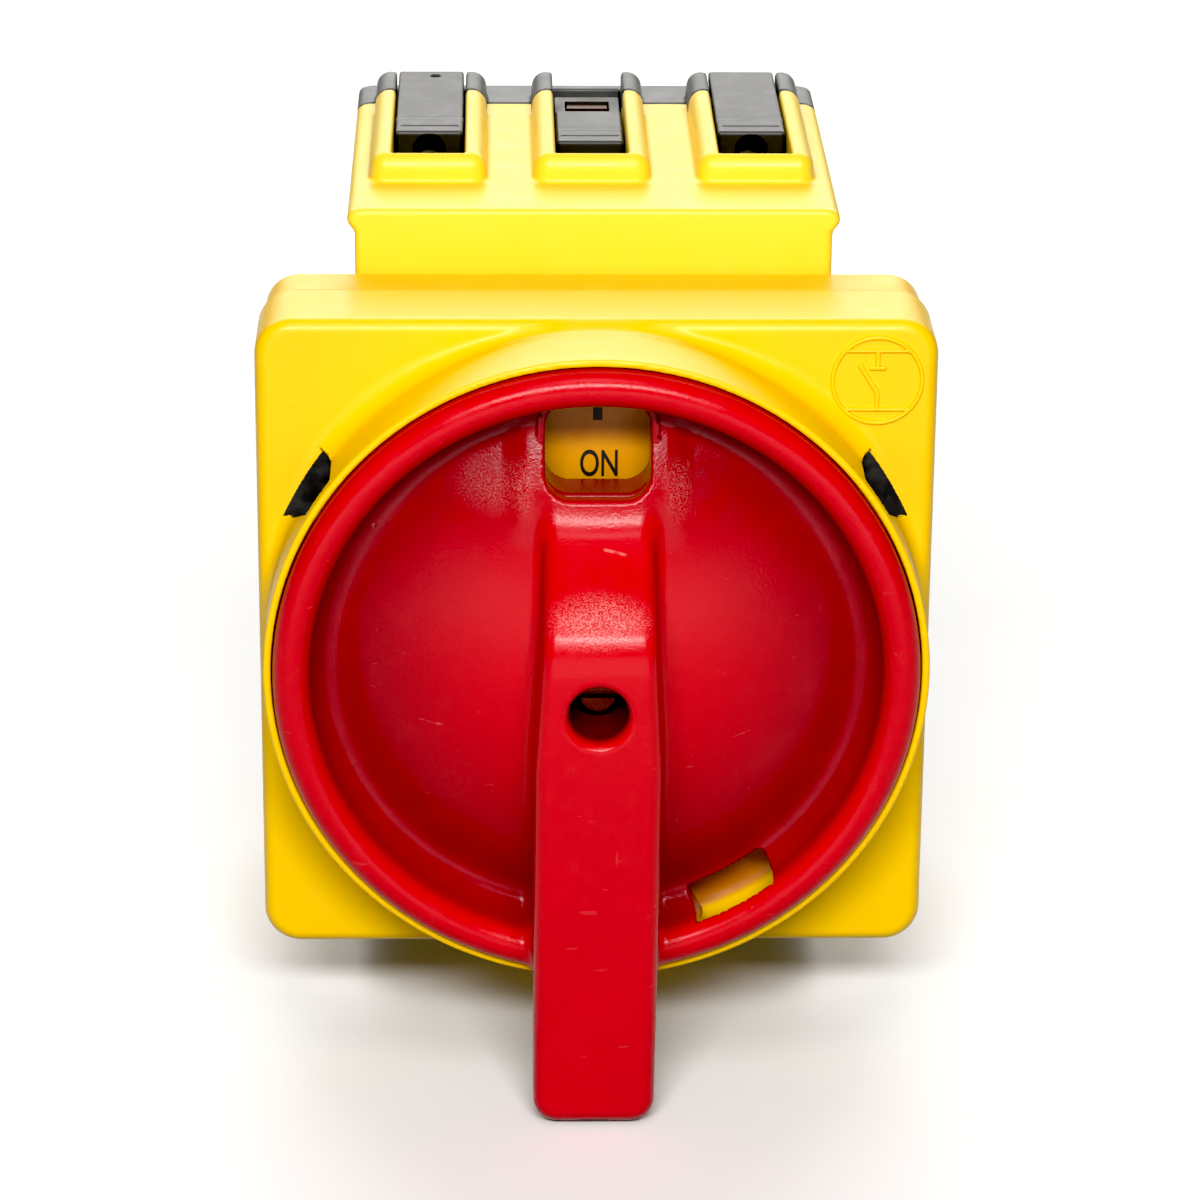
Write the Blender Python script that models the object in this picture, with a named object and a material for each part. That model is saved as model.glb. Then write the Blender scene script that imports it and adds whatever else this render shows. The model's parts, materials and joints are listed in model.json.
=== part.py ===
"""Rotary isolator switch: a padlockable red rotary handle on a square yellow front
plate, with a three-pole switch body behind it under a yellow terminal cover.

Units are metres, +Z up.  The helpers below take millimetres in the switch's own
design frame: X to the right, Y to the rear with Y = 0 on the face of the front
plate, Z up, and the drive shaft's axis along Y through X = Z = 0.  Two empties on
the shaft axis carry every piece from that frame to the row frame, whose origin is
the bottom centre of the whole switch.
"""

import math

import bmesh
import bpy

for ob in list(bpy.data.objects):
    bpy.data.objects.remove(ob, do_unlink=True)
for me in list(bpy.data.meshes):
    bpy.data.meshes.remove(me)

# ---------------------------------------------------------------- dimensions, mm
GAP = 0.3  # working gap between neighbours

PLATE = 90.0  # square front plate
PLATE_CORNER = 5.0
PLATE_EDGE = 1.3
PLATE_DEPTH = 14.0
PLATE_WALL = 2.2
PLATE_FRONT = 3.0
FRAME = 88.6  # square rear frame behind the front plate
FRAME_END = 23.2

COLLAR_OUT = 44.2
COLLAR_IN = 43.1
COLLAR_H = 14.5
SLOT_FROM, SLOT_TO = 23.7, 37.0  # padlock slot in the collar, degrees
SLOT_FRONT = 30.0  # its lower end slopes, so it is shorter at the front
SLOT_H = 10.5

BEARING_R = 7.4
BEARING_END = 9.0
HUB_R = 7.0
HUB_END = 6.0

DISC_R = 42.7
RIM_CREST_R = 40.3
RIM_CREST_H = 15.3
RIM_IN_R = 37.8
VALLEY_R = 34.5
VALLEY_H = 7.5
DOME_H = 15.2
SHELL = 2.0
SKIRT_H = 10.2

LEVER_H = 27.0
LEVER_TIP = -58.9
LEVER_BACK_H = 15.3
ACCESS_R = 4.5
ACCESS_H = 16.2
SOCKET_H = 12.8
SOCKET = 6.5

WINDOW_W = 13.8
WINDOW_LOW, WINDOW_TOP = 24.2, 36.8
LOCK_FROM, LOCK_TO = -68.0, -52.0  # padlock window in the dish, degrees
LOCK_R_IN, LOCK_R_OUT = 35.3, 40.2

SHAFT = 6.0
SHAFT_FROM, SHAFT_TO = -12.4, 49.4

BODY_W = 66.6  # terminal cover and base, over the lips
NECK_W = 64.6
BODY_H = 105.6
LIP_H = 2.4
BODY_WALL = 2.4
COVER_FROM, COVER_TO = 23.5, 76.5
BASE_FROM, BASE_TO = 76.8, 87.0
BASE_FLOOR = 82.0
DROP = 2.2  # the lower half of the body reaches this much further than the upper half

POLES = (-22.5, 0.0, 22.5)
BOSS_W = 16.0
BOSS_TOP = 57.0
BOSS_FROM = 36.0
BOSS_SEAM = 69.8  # the cover's bosses end here and the base's bosses go on
BOSS_TO = 80.9
WIN_W = 10.0
WIN_FROM = 37.8
CHANNEL_TO = 84.3
WIN_LOW = 47.0
SCREW_Z = 49.6  # terminal screws' axes

SCREW_AT = 24.0  # 48 x 48 mm fixing pattern behind the handle
TIE_X, TIE_Z = 11.0, 26.5

HOUSING = 58.0
HOUSING_FROM, HOUSING_TO = 26.3, 60.7
POCKET_R = 21.5

TRAVEL = 5.5  # carrier stroke for a quarter turn
DRUM_R = 8.5
DRUM_FROM, DRUM_TO = 36.3, 50.5
GROOVE_BOTTOM = 6.4
GROOVE_W = 4.2
PIN_R = 1.5
PIN_Y = 46.0

ROW_Y = (BASE_TO - LEVER_H) / 2.0  # design Y of the row origin
ROW_Z = BOSS_TOP + DROP  # height of the shaft axis over the row origin

MM = 0.001


# ---------------------------------------------------------------- materials
def material(name, rgb, rough, metal=0.0):
    m = bpy.data.materials.new(name)
    m.use_nodes = True
    bsdf = m.node_tree.nodes["Principled BSDF"]
    bsdf.inputs["Base Color"].default_value = (*rgb, 1.0)
    bsdf.inputs["Roughness"].default_value = rough
    bsdf.inputs["Metallic"].default_value = metal
    m.diffuse_color = (*rgb, 1.0)
    return m


YELLOW = material("yellow_plastic", (0.93, 0.62, 0.01), 0.38)
RED = material("red_plastic", (0.62, 0.004, 0.012), 0.32)
GRAY = material("gray_plastic", (0.075, 0.075, 0.072), 0.5)
BLACK = material("black_plastic", (0.02, 0.02, 0.021), 0.5)
RUBBER = material("black_rubber", (0.015, 0.015, 0.015), 0.85)
STEEL = material("zinc_steel", (0.62, 0.62, 0.6), 0.35, 1.0)
COPPER = material("copper", (0.78, 0.42, 0.26), 0.3, 1.0)
SPRING = material("spring_steel", (0.5, 0.5, 0.52), 0.28, 1.0)

# ---------------------------------------------------------------- frame empties
body_frame = bpy.data.objects.new("body_frame", None)
shaft_axis = bpy.data.objects.new("shaft_axis", None)
for empty in (body_frame, shaft_axis):
    empty.location = (0.0, -ROW_Y * MM, ROW_Z * MM)
    bpy.context.scene.collection.objects.link(empty)


# ---------------------------------------------------------------- helpers
def mesh_from(verts, faces, name="m"):
    me = bpy.data.meshes.new(name)
    me.from_pydata([(x * MM, y * MM, z * MM) for x, y, z in verts], [], faces)
    bm = bmesh.new()
    bm.from_mesh(me)
    bmesh.ops.recalc_face_normals(bm, faces=bm.faces)
    bm.to_mesh(me)
    bm.free()
    return me


def loose(me):
    ob = bpy.data.objects.new("tool", me)
    bpy.context.scene.collection.objects.link(ob)
    return ob


def rings(sections):
    """A closed solid through equal-count rings of points, capped at both ends."""
    n = len(sections[0])
    verts = [p for ring in sections for p in ring]
    faces = []
    for k in range(len(sections) - 1):
        for i in range(n):
            j = (i + 1) % n
            faces.append((k * n + i, k * n + j, (k + 1) * n + j, (k + 1) * n + i))
    faces.append(tuple(range(n - 1, -1, -1)))
    faces.append(tuple((len(sections) - 1) * n + i for i in range(n)))
    return loose(mesh_from(verts, faces))


def box(x0, x1, y0, y1, z0, z1):
    return rings(
        [[(x0, y, z0), (x1, y, z0), (x1, y, z1), (x0, y, z1)] for y in (y0, y1)]
    )


def rrect(w, h, r, n=4):
    """A rounded rectangle in X and Z."""
    out = []
    for cx, cz, a0 in (
        (w / 2 - r, h / 2 - r, 0),
        (-w / 2 + r, h / 2 - r, 90),
        (-w / 2 + r, -h / 2 + r, 180),
        (w / 2 - r, -h / 2 + r, 270),
    ):
        for i in range(n + 1):
            a = math.radians(a0 + 90.0 * i / n)
            out.append((cx + r * math.cos(a), cz + r * math.sin(a)))
    return out


def prism(outline, y0, y1):
    return rings([[(x, y, z) for x, z in outline] for y in (y0, y1)])


def loft(levels):
    """A solid along Y through (y, outline) levels."""
    return rings([[(x, y, z) for x, z in outline] for y, outline in levels])


def turned(profile, n=48):
    """A solid turned about the Y axis from a closed (r, y) outline; r = 0 at its ends if it is full."""
    verts, faces = [], []
    full = profile[0][0] < 1e-6 and profile[-1][0] < 1e-6
    body = profile[1:-1] if full else profile
    k = len(body)
    for i in range(n):
        a = 2 * math.pi * i / n
        verts += [(r * math.cos(a), y, r * math.sin(a)) for r, y in body]
    for i in range(n):
        j = (i + 1) % n
        for m in range(k - 1 if full else k):
            o = (m + 1) % k
            faces.append((i * k + m, j * k + m, j * k + o, i * k + o))
    if full:
        a, b = len(verts), len(verts) + 1
        verts += [(0, profile[0][1], 0), (0, profile[-1][1], 0)]
        for i in range(n):
            j = (i + 1) % n
            faces.append((a, j * k, i * k))
            faces.append((b, i * k + k - 1, j * k + k - 1))
    return loose(mesh_from(verts, faces))


def rod(r, y0, y1, x=0.0, z=0.0, n=20):
    ob = turned([(0, y0), (r, y0), (r, y1), (0, y1)], n)
    shift(ob, x, 0, z)
    return ob


def shift(ob, dx, dy, dz):
    for v in ob.data.vertices:
        v.co.x += dx * MM
        v.co.y += dy * MM
        v.co.z += dz * MM


def spin(ob, degrees):
    """Turns a loose shape about the Y axis, counter-clockwise as the handle's user sees it."""
    a = math.radians(degrees)
    c, s = math.cos(a), math.sin(a)
    for v in ob.data.vertices:
        x, z = v.co.x, v.co.z
        v.co.x, v.co.z = x * c - z * s, x * s + z * c


def combine(ob, tool, operation):
    mod = ob.modifiers.new("op", "BOOLEAN")
    mod.operation = operation
    mod.solver = "EXACT"
    mod.object = tool
    view = bpy.context.evaluated_depsgraph_get()
    view.update()
    me = bpy.data.meshes.new_from_object(ob.evaluated_get(view))
    ob.modifiers.clear()
    old = ob.data
    ob.data = me
    bpy.data.meshes.remove(old)
    bpy.data.objects.remove(tool, do_unlink=True)
    return ob


def cut(ob, *tools):
    for tool in tools:
        combine(ob, tool, "DIFFERENCE")
    return ob


def add(ob, *tools):
    for tool in tools:
        combine(ob, tool, "UNION")
    return ob


def piece(ob, name, mat, moving=False, sharp=35.0):
    """Names a finished shape, tidies its mesh and hangs it on its frame empty."""
    bm = bmesh.new()
    bm.from_mesh(ob.data)
    bmesh.ops.remove_doubles(bm, verts=bm.verts, dist=2e-6)
    bmesh.ops.dissolve_degenerate(bm, edges=bm.edges, dist=1e-6)
    bmesh.ops.dissolve_limit(
        bm, angle_limit=math.radians(0.4), verts=bm.verts, edges=bm.edges
    )
    bmesh.ops.triangulate(bm, faces=bm.faces)
    bmesh.ops.recalc_face_normals(bm, faces=bm.faces)
    bm.to_mesh(ob.data)
    bm.free()
    ob.name = name
    ob.data.name = name
    ob.data.materials.clear()
    ob.data.materials.append(mat)
    ob.data.shade_smooth()
    ob.data.set_sharp_from_angle(angle=math.radians(sharp))
    ob.parent = shaft_axis if moving else body_frame
    return ob


def copy_of(source, name, x=0.0, y=0.0, z=0.0, turn=None):
    """A second piece on the same mesh, placed by its own location and rotation."""
    ob = bpy.data.objects.new(name, source.data)
    bpy.context.scene.collection.objects.link(ob)
    ob.parent = source.parent
    ob.location = (x * MM, y * MM, z * MM)
    if turn:
        ob.rotation_euler = [math.radians(a) for a in turn]
    return ob


def ring_outline(r_in, r_out, y0, y1, c=0.0):
    """A ring's closed (r, y) outline, with its two front corners cut by c."""
    return [
        (r_in, y1),
        (r_in, y0 + c),
        (r_in + c, y0),
        (r_out - c, y0),
        (r_out, y0 + c),
        (r_out, y1),
    ]


def screw_shape(head_r, head_h, shank_r, length, n=12):
    """A pan-head slotted screw: head underside at Y = 0, head towards -Y, shank towards +Y."""
    ob = turned(
        [
            (0, -head_h),
            (head_r * 0.7, -head_h),
            (head_r, -head_h * 0.6),
            (head_r, 0),
            (shank_r, 0),
            (shank_r, length),
            (0, length),
        ],
        n,
    )
    cut(
        ob,
        box(
            -head_r * 1.2,
            head_r * 1.2,
            -head_h - 1,
            -head_h * 0.5,
            -head_r * 0.16,
            head_r * 0.16,
        ),
    )
    return ob


# ---------------------------------------------------------------- front plate
plate = loft(
    [
        (0.0, rrect(PLATE - 2 * PLATE_EDGE, PLATE - 2 * PLATE_EDGE, PLATE_CORNER - 1)),
        (
            PLATE_EDGE * 0.3,
            rrect(
                PLATE - PLATE_EDGE * 0.6, PLATE - PLATE_EDGE * 0.6, PLATE_CORNER - 0.3
            ),
        ),
        (PLATE_EDGE, rrect(PLATE, PLATE, PLATE_CORNER)),
        (PLATE_DEPTH, rrect(PLATE, PLATE, PLATE_CORNER)),
    ]
)
inside = PLATE - 2 * PLATE_WALL
cut(plate, prism(rrect(inside, inside, 3.0), PLATE_FRONT, PLATE_DEPTH + 1))
add(plate, rod(10.6, PLATE_FRONT - 0.5, BEARING_END, n=32))
add(
    plate,
    turned(
        [
            (COLLAR_IN - 0.8, 0.8),
            (COLLAR_IN - 0.8, 0.0),
            (COLLAR_IN, -9.0),
            (COLLAR_IN, -COLLAR_H + 0.3),
            (COLLAR_IN + 0.3, -COLLAR_H),
            (COLLAR_OUT - 0.4, -COLLAR_H),
            (COLLAR_OUT, -COLLAR_H + 0.4),
            (COLLAR_OUT - 0.1, -10.0),
            (COLLAR_OUT - 0.8, 0.0),
            (COLLAR_OUT - 0.8, 0.8),
        ],
        60,
    ),
)
cut(plate, rod(BEARING_R, -1, BEARING_END + 1, n=28), rod(10.2, -1, 2.4, n=28))
for sx in (-1, 1):
    for sz in (-1, 1):
        cut(plate, rod(2.4, -1, 6, sx * SCREW_AT, sz * SCREW_AT, 10))
corners = (
    (SLOT_FROM, 0.25),
    (SLOT_TO, 0.25),
    (SLOT_TO, SLOT_H),
    (SLOT_FRONT, SLOT_H),
)
for sx in (-1, 1):
    for sz in (-1, 1):
        ends = []
        for r in (40.0, 46.5):
            ends.append(
                [
                    (
                        sx * r * math.cos(math.radians(a)),
                        -h,
                        sz * r * math.sin(math.radians(a)),
                    )
                    for a, h in corners
                ]
            )
        cut(plate, rings(ends))
piece(plate, "front_plate", YELLOW)

# ---------------------------------------------------------------- rear frame
frame = loft(
    [
        (PLATE_DEPTH + GAP, rrect(FRAME, FRAME, 4.6)),
        (FRAME_END - 0.8, rrect(FRAME, FRAME, 4.6)),
        (FRAME_END, rrect(FRAME - 1.6, FRAME - 1.6, 4.0)),
    ]
)
cut(
    frame,
    prism(
        rrect(FRAME - 4.4, FRAME - 4.4, 3.0), PLATE_DEPTH - 1, FRAME_END - 2.6
    ),
    prism(rrect(62, 62, 2.0, 3), FRAME_END - 1.1, FRAME_END + 1),
    rod(12.0, 18, 25, n=28),
)
for sx in (-1, 1):
    for sz in (-1, 1):
        cut(frame, rod(2.4, 18, 25, sx * SCREW_AT, sz * SCREW_AT, 10))
piece(frame, "rear_frame", YELLOW)

gasket = prism(rrect(61.2, 61.2, 1.8, 3), FRAME_END - 0.8, FRAME_END)
cut(gasket, prism(rrect(54.6, 54.6, 1.8, 3), FRAME_END - 2, FRAME_END + 1))
piece(gasket, "panel_gasket", RUBBER)

seal = turned([(HUB_R + GAP, 0.3), (9.9, 0.3), (9.9, 2.1), (HUB_R + GAP, 2.1)], 28)
piece(seal, "handle_seal", RUBBER)

plate_screw = screw_shape(3.6, 2.3, 2.0, 33.5)
piece(plate_screw, "plate_screw_1", STEEL)
plate_screw.location = (-SCREW_AT * MM, -GAP * MM, SCREW_AT * MM)
copy_of(plate_screw, "plate_screw_2", SCREW_AT, -GAP, SCREW_AT)
copy_of(plate_screw, "plate_screw_3", -SCREW_AT, -GAP, -SCREW_AT)
copy_of(plate_screw, "plate_screw_4", SCREW_AT, -GAP, -SCREW_AT)


# ---------------------------------------------------------------- rotary handle
def dome(r):
    """Height of the dish floor at radius r: a smooth central dome down to the valley."""
    if r >= VALLEY_R:
        return VALLEY_H
    return VALLEY_H + (DOME_H - VALLEY_H) * 0.5 * (1 + math.cos(math.pi * r / VALLEY_R))


top = [(r, dome(r)) for r in (0, 10, 16, 22, 28, VALLEY_R)]
rim = [
    (37.0, 8.1),
    (RIM_IN_R + 0.1, 11.6),
    (38.7, 14.4),
    (RIM_CREST_R, RIM_CREST_H),
    (42.0, 14.7),
    (DISC_R, 13.0),
    (DISC_R, SKIRT_H + 0.4),
    (DISC_R - 0.4, SKIRT_H),
    (40.2, SKIRT_H),
    (39.5, SKIRT_H - 0.6),
    (38.9, 6.8),
    (37.6, VALLEY_H - SHELL),
]
under = [(r, dome(r) - SHELL) for r in (28, 20, 12, 0)]
handle = turned([(r, -h) for r, h in top + rim + under], 52)
cutter = prism(
    [
        (x, z + (WINDOW_LOW + WINDOW_TOP) / 2)
        for x, z in rrect(WINDOW_W, WINDOW_TOP - WINDOW_LOW, 3.4, 4)
    ],
    -14.0,
    0.0,
)
cut(handle, cutter)

lock = []
for k in range(6):
    a = math.radians(LOCK_FROM + (LOCK_TO - LOCK_FROM) * k / 5)
    lock.append((LOCK_R_OUT * math.cos(a), LOCK_R_OUT * math.sin(a)))
for a in (math.radians(LOCK_TO), math.radians(LOCK_FROM)):
    lock.append((LOCK_R_IN * math.cos(a), LOCK_R_IN * math.sin(a)))
cut(handle, prism(lock, -10.8, 0.0))

LEVER_TOP = (
    (25.2, 9.2),
    (23.6, 10.6),
    (21.6, 12.4),
    (19.4, 15.0),
    (17.0, 18.2),
    (14.8, 21.3),
    (12.8, 23.9),
    (10.8, 25.6),
    (8.6, 26.5),
    (6.0, 26.9),
    (3.0, LEVER_H),
    (-10.0, LEVER_H),
    (-28.0, LEVER_H),
    (-41.2, LEVER_H),
    (-41.5, LEVER_H),
    (LEVER_TIP + 2.0, LEVER_H),
    (LEVER_TIP + 0.8, 26.6),
    (LEVER_TIP + 0.2, 25.8),
    (LEVER_TIP, 24.8),
)


def lever_half_width(z):
    if z > 10:
        return 7.1 + 0.3 * (25 - z) / 15
    if z > -8:
        return 7.4 + 1.0 * (10 - z) / 18
    return 8.4 - 0.35 * (-8 - z) / 50


sections = []
for z, h in LEVER_TOP:
    w = lever_half_width(z)
    low = LEVER_BACK_H if z < -41.35 else min(dome(abs(z)), h) - 1.1
    r = min(1.6, (h - low) * 0.45)
    if z < LEVER_TIP + 1.9:
        w -= 0.5 * (LEVER_TIP + 2.0 - z) ** 2 / 2.0
        low += 0.25 * (LEVER_TIP + 2.0 - z) ** 2 / 4.0
    ring = [(-w, z, low)]
    for k in range(4):
        a = math.radians(180 - 30 * k)
        ring.append((-w + r + r * math.cos(a), z, h - r + r * math.sin(a)))
    for k in range(4):
        a = math.radians(90 - 30 * k)
        ring.append((w - r + r * math.cos(a), z, h - r + r * math.sin(a)))
    ring.append((w, z, low))
    sections.append([(x, -hh, zz) for x, zz, hh in ring])
add(handle, rings(sections))
add(handle, rod(HUB_R, -DOME_H + 1.0, HUB_END, n=32))
cut(
    handle,
    box(
        -SOCKET / 2, SOCKET / 2, -SOCKET_H, HUB_END + 1, -SOCKET / 2, SOCKET / 2
    ),
    rod(1.8, -ACCESS_H - 1, -SOCKET_H + 1, n=12),
    turned(
        [
            (0, -LEVER_H - 1),
            (ACCESS_R + 1.6, -LEVER_H - 1),
            (ACCESS_R + 0.7, -LEVER_H + 0.1),
            (ACCESS_R, -LEVER_H + 1.0),
            (ACCESS_R - 0.3, -ACCESS_H),
            (0, -ACCESS_H),
        ],
        32,
    ),
    box(-2.0, 2.0, -LEVER_BACK_H - 3.0, -LEVER_BACK_H + 1, LEVER_TIP - 1, LEVER_TIP + 3),
)
piece(handle, "rotary_handle", RED, moving=True)

# ---------------------------------------------------------------- shaft and screw
half = SHAFT / 2
shaft = rings(
    [
        [(x * w, y, z * w) for x, z in ((-1, -1), (1, -1), (1, 1), (-1, 1))]
        for y, w in (
            (SHAFT_FROM, half - 0.5),
            (SHAFT_FROM + 0.6, half),
            (SHAFT_TO - 0.6, half),
            (SHAFT_TO, half - 0.5),
        )
    ]
)
cut(shaft, rod(1.8, SHAFT_FROM - 1, SHAFT_FROM + 12, n=12))
piece(shaft, "drive_shaft", STEEL, moving=True)

handle_screw = screw_shape(3.4, 2.2, 1.5, 13.5)
piece(handle_screw, "handle_screw", STEEL, moving=True)
handle_screw.location = (0, -(ACCESS_H + GAP) * MM, 0)


# ---------------------------------------------------------------- body shells
def body_outline(grow=0.0):
    """The cover's and the base's outline: straight sides with a small lip at the top and bottom."""
    lip, neck, z = BODY_W / 2 + grow, NECK_W / 2 + grow, BODY_H / 2 + grow
    c = 1.2
    one = [
        (neck, 0),
        (neck, z - LIP_H - 0.9),
        (lip - 0.3, z - LIP_H - 0.1),
        (lip, z - LIP_H + 0.4),
        (lip, z - c),
        (lip - 0.3 * c, z - 0.3 * c),
        (lip - c, z),
    ]
    upper = one[1:] + [(-x, y) for x, y in reversed(one[1:])]
    return upper + [(-x, -y - DROP) for x, y in upper]


def boss_outline(x0, side, deep):
    """One terminal boss's outline, rooted inside the shell wall."""
    w, z, c = BOSS_W / 2, BOSS_TOP, 1.5
    pts = [
        (w, deep),
        (w, z - c),
        (w - 0.3 * c, z - 0.3 * c),
        (w - c, z),
        (-w + c, z),
        (-w + 0.3 * c, z - 0.3 * c),
        (-w, z - c),
        (-w, deep),
    ]
    return [(x0 + x, z if side > 0 else -z - DROP) for x, z in pts]


def narrowed(outline, x0, side, k):
    """A boss's outline drawn in towards the shell, for its rounded end."""
    base_z = BODY_H / 2 - 1.2 if side > 0 else -BODY_H / 2 + 1.2 - DROP
    return [(x0 + (x - x0) * 0.9, base_z + (z - base_z) * k) for x, z in outline]


def window(x0, side, y0, y1):
    """The block that opens a terminal's window and its channel."""
    a, b = (WIN_LOW, BOSS_TOP + 1) if side > 0 else (-BOSS_TOP - 1 - DROP, -WIN_LOW - DROP)
    return box(x0 - WIN_W / 2, x0 + WIN_W / 2, y0, y1, a, b)


INNER_X, INNER_Z = NECK_W / 2 - BODY_WALL, BODY_H / 2 - BODY_WALL

cover = loft(
    [
        (COVER_FROM, body_outline(-0.8)),
        (COVER_FROM + 0.8, body_outline()),
        (COVER_TO, body_outline()),
    ]
)
cut(
    cover,
    box(-INNER_X, INNER_X, COVER_FROM + 2.5, COVER_TO + 1, -INNER_Z - DROP, INNER_Z),
)
for side in (1, -1):
    for x0 in POLES:
        shape = boss_outline(x0, side, BODY_H / 2 - 1.2)
        nose = narrowed(shape, x0, side, 0.7)
        add(cover, loft([(BOSS_FROM, nose), (BOSS_FROM + 1.6, shape), (BOSS_SEAM, shape)]))
        cut(cover, window(x0, side, WIN_FROM, COVER_TO + 1))
cut(cover, rod(13.0, 20, 30, n=28))
for sx in (-1, 1):
    for sz in (-1, 1):
        cut(cover, rod(2.4, 20, 30, sx * SCREW_AT, sz * SCREW_AT, 10))
piece(cover, "terminal_cover", YELLOW)

base = loft(
    [
        (BASE_FROM, body_outline()),
        (BASE_TO - 0.8, body_outline()),
        (BASE_TO, body_outline(-0.8)),
    ]
)
cut(
    base,
    box(-INNER_X, INNER_X, BASE_FROM - 1, BASE_FLOOR, -INNER_Z - DROP, INNER_Z),
)
for side in (1, -1):
    for x0 in POLES:
        shape = boss_outline(x0, side, BODY_H / 2 - 1.2)
        nose = narrowed(shape, x0, side, 0.7)
        add(
            base,
            loft([(BASE_FROM, shape), (BOSS_TO - 1.6, shape), (BOSS_TO, nose)]),
            prism(
                boss_outline(x0, side, BODY_H / 2 + GAP), BOSS_SEAM + GAP, BASE_FROM + 1.0
            ),
        )
        cut(base, window(x0, side, BOSS_SEAM, CHANNEL_TO))
for sx in (-1, 1):
    for sz in (-1, 1):
        cut(
            base,
            rod(1.8, 80, 88, sx * TIE_X, sz * TIE_Z, 10),
            rod(3.3, BASE_TO - 2.2, 88, sx * TIE_X, sz * TIE_Z, 12),
        )
piece(base, "switch_base", GRAY)


# ---------------------------------------------------------------- terminal shields
def shield(y_from, y_end, top_z, roof, hole_top, dimple=False):
    """A terminal's shield: a front block with the screwdriver slot, and a roof over the wire entry."""
    ob = box(-4.7, 4.7, y_from, 56.5, WIN_LOW + 0.3, top_z)
    add(ob, box(-4.7, 4.7, 55.5, y_end, top_z - roof, top_z))
    r = 2.1
    slot = []
    for z, start in ((hole_top - r, 0), (SCREW_Z, 180)):
        for k in range(7):
            a = math.radians(start + 30 * k)
            slot.append((r * math.cos(a), z + r * math.sin(a)))
    cut(ob, prism(slot, y_from - 1, 57.5))
    if dimple:
        cut(ob, rod_z(0.7, top_z - 0.6, top_z + 1, 0.6, 78.2, 10))
    return ob


def rod_z(r, z0, z1, x, y, n=12):
    ring = [
        (x + r * math.cos(2 * math.pi * i / n), y + r * math.sin(2 * math.pi * i / n))
        for i in range(n)
    ]
    return rings([[(px, py, z) for px, py in ring] for z in (z0, z1)])


full_top = BOSS_TOP - 0.3
s1 = piece(shield(49.0, 80.9, full_top, 1.9, 56.1, True), "terminal_shield_top_l", GRAY)
s1.location = (POLES[0] * MM, 0, 0)
s2 = piece(shield(49.3, 65.1, full_top - 1.5, 1.4, 52.4), "terminal_shield_top_m", GRAY)
s3 = piece(shield(49.0, 80.9, full_top, 1.9, 56.1), "terminal_shield_top_r", GRAY)
s3.location = (POLES[2] * MM, 0, 0)
for x0, tag in zip(POLES, "lmr"):
    copy_of(s3, "terminal_shield_bottom_" + tag, x0, 0, -DROP, (0, 180, 0))

# ---------------------------------------------------------------- contact chamber
chamber = box(-29.6, 29.6, 61.0, 81.7, -45.4, 45.4)
for x0 in POLES:
    cut(
        chamber,
        box(x0 - 6.2, x0 + 6.2, 60, 76.3, -47, 47),
        box(x0 - 6.2, x0 + 6.2, 75, 79.7, -24, 24),
    )
for sx in (-1, 1):
    for sz in (-1, 1):
        cut(chamber, rod(1.8, 60, 83, sx * TIE_X, sz * TIE_Z, 12))
piece(chamber, "contact_chamber", BLACK)

# ---------------------------------------------------------------- mechanism housing
housing = box(
    -HOUSING / 2, HOUSING / 2, HOUSING_FROM, HOUSING_TO, -HOUSING / 2, HOUSING / 2
)
cut(housing, rod(POCKET_R, HOUSING_FROM + 2.7, HOUSING_TO + 1, n=40))
for sx in (-1, 1):
    for sz in (-1, 1):
        a, b = sorted((sx * 8.4, sx * 12.2))
        c, d = sorted((sz * 15.4, sz * 22.5))
        add(housing, box(a, b, HOUSING_FROM + 2, 34.2, c, d))
        a, b = sorted((sx * 9.6, sx * 11.2))
        c, d = sorted((sz * 15.0, sz * 18.6))
        cut(housing, box(a, b, HOUSING_FROM + 2.7, 35, c, d))
# stop post: the wheel's lug turns from one side of it to the other, a quarter turn
for angle in (135 - 59, 135 + 59):
    post = box(17.0, 22.2, HOUSING_FROM + 2, 36.4, -1.6, 1.6)
    spin(post, angle)
    add(housing, post)
cut(housing, box(-31, 31, 50.9, HOUSING_TO + 1, -8.5, 8.5))
cut(housing, rod(6.3, 20, 32, n=24))
for sx in (-1, 1):
    for sz in (-1, 1):
        cut(
            housing,
            rod(2.3, 20, 34.5, sx * SCREW_AT, sz * SCREW_AT, 10),
            rod(1.8, 53, 62, sx * TIE_X, sz * TIE_Z, 12),
        )
piece(housing, "mechanism_housing", BLACK)

tie = screw_shape(2.9, 1.8, 1.5, 29.0)
piece(tie, "housing_screw_1", STEEL)
tie_y = BASE_TO - 2.2 + GAP
for k, (sx, sz) in enumerate(((-1, 1), (1, 1), (-1, -1), (1, -1))):
    ob = tie if k == 0 else copy_of(tie, "housing_screw_%d" % (k + 1))
    ob.location = (sx * TIE_X * MM, tie_y * MM, sz * TIE_Z * MM)
    ob.rotation_euler = (0, 0, math.pi)


# ---------------------------------------------------------------- detent
def wheel_outline():
    """A square with its corners cut to a circle: the flats are the two rest positions."""
    out = []
    for q in range(4):
        edge = math.degrees(math.acos(9.5 / 12.0))
        for a in (q * 90 + edge, q * 90 + 45, q * 90 + 90 - edge):
            r = 12.0
            out.append((r * math.cos(math.radians(a)), r * math.sin(math.radians(a))))
    return out


wheel = prism(wheel_outline(), HOUSING_FROM + 3.1, 36.0)
add(wheel, rod(6.0, HOUSING_FROM + 0.4, HOUSING_FROM + 4, n=24))
lug = box(9.0, 19.6, 34.5, 36.0, -2.2, 2.2)
spin(lug, 90)
add(wheel, lug)
cut(wheel, box(-SOCKET / 2, SOCKET / 2, 20, 40, -SOCKET / 2, SOCKET / 2))
piece(wheel, "detent_wheel", BLACK, moving=True)

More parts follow.
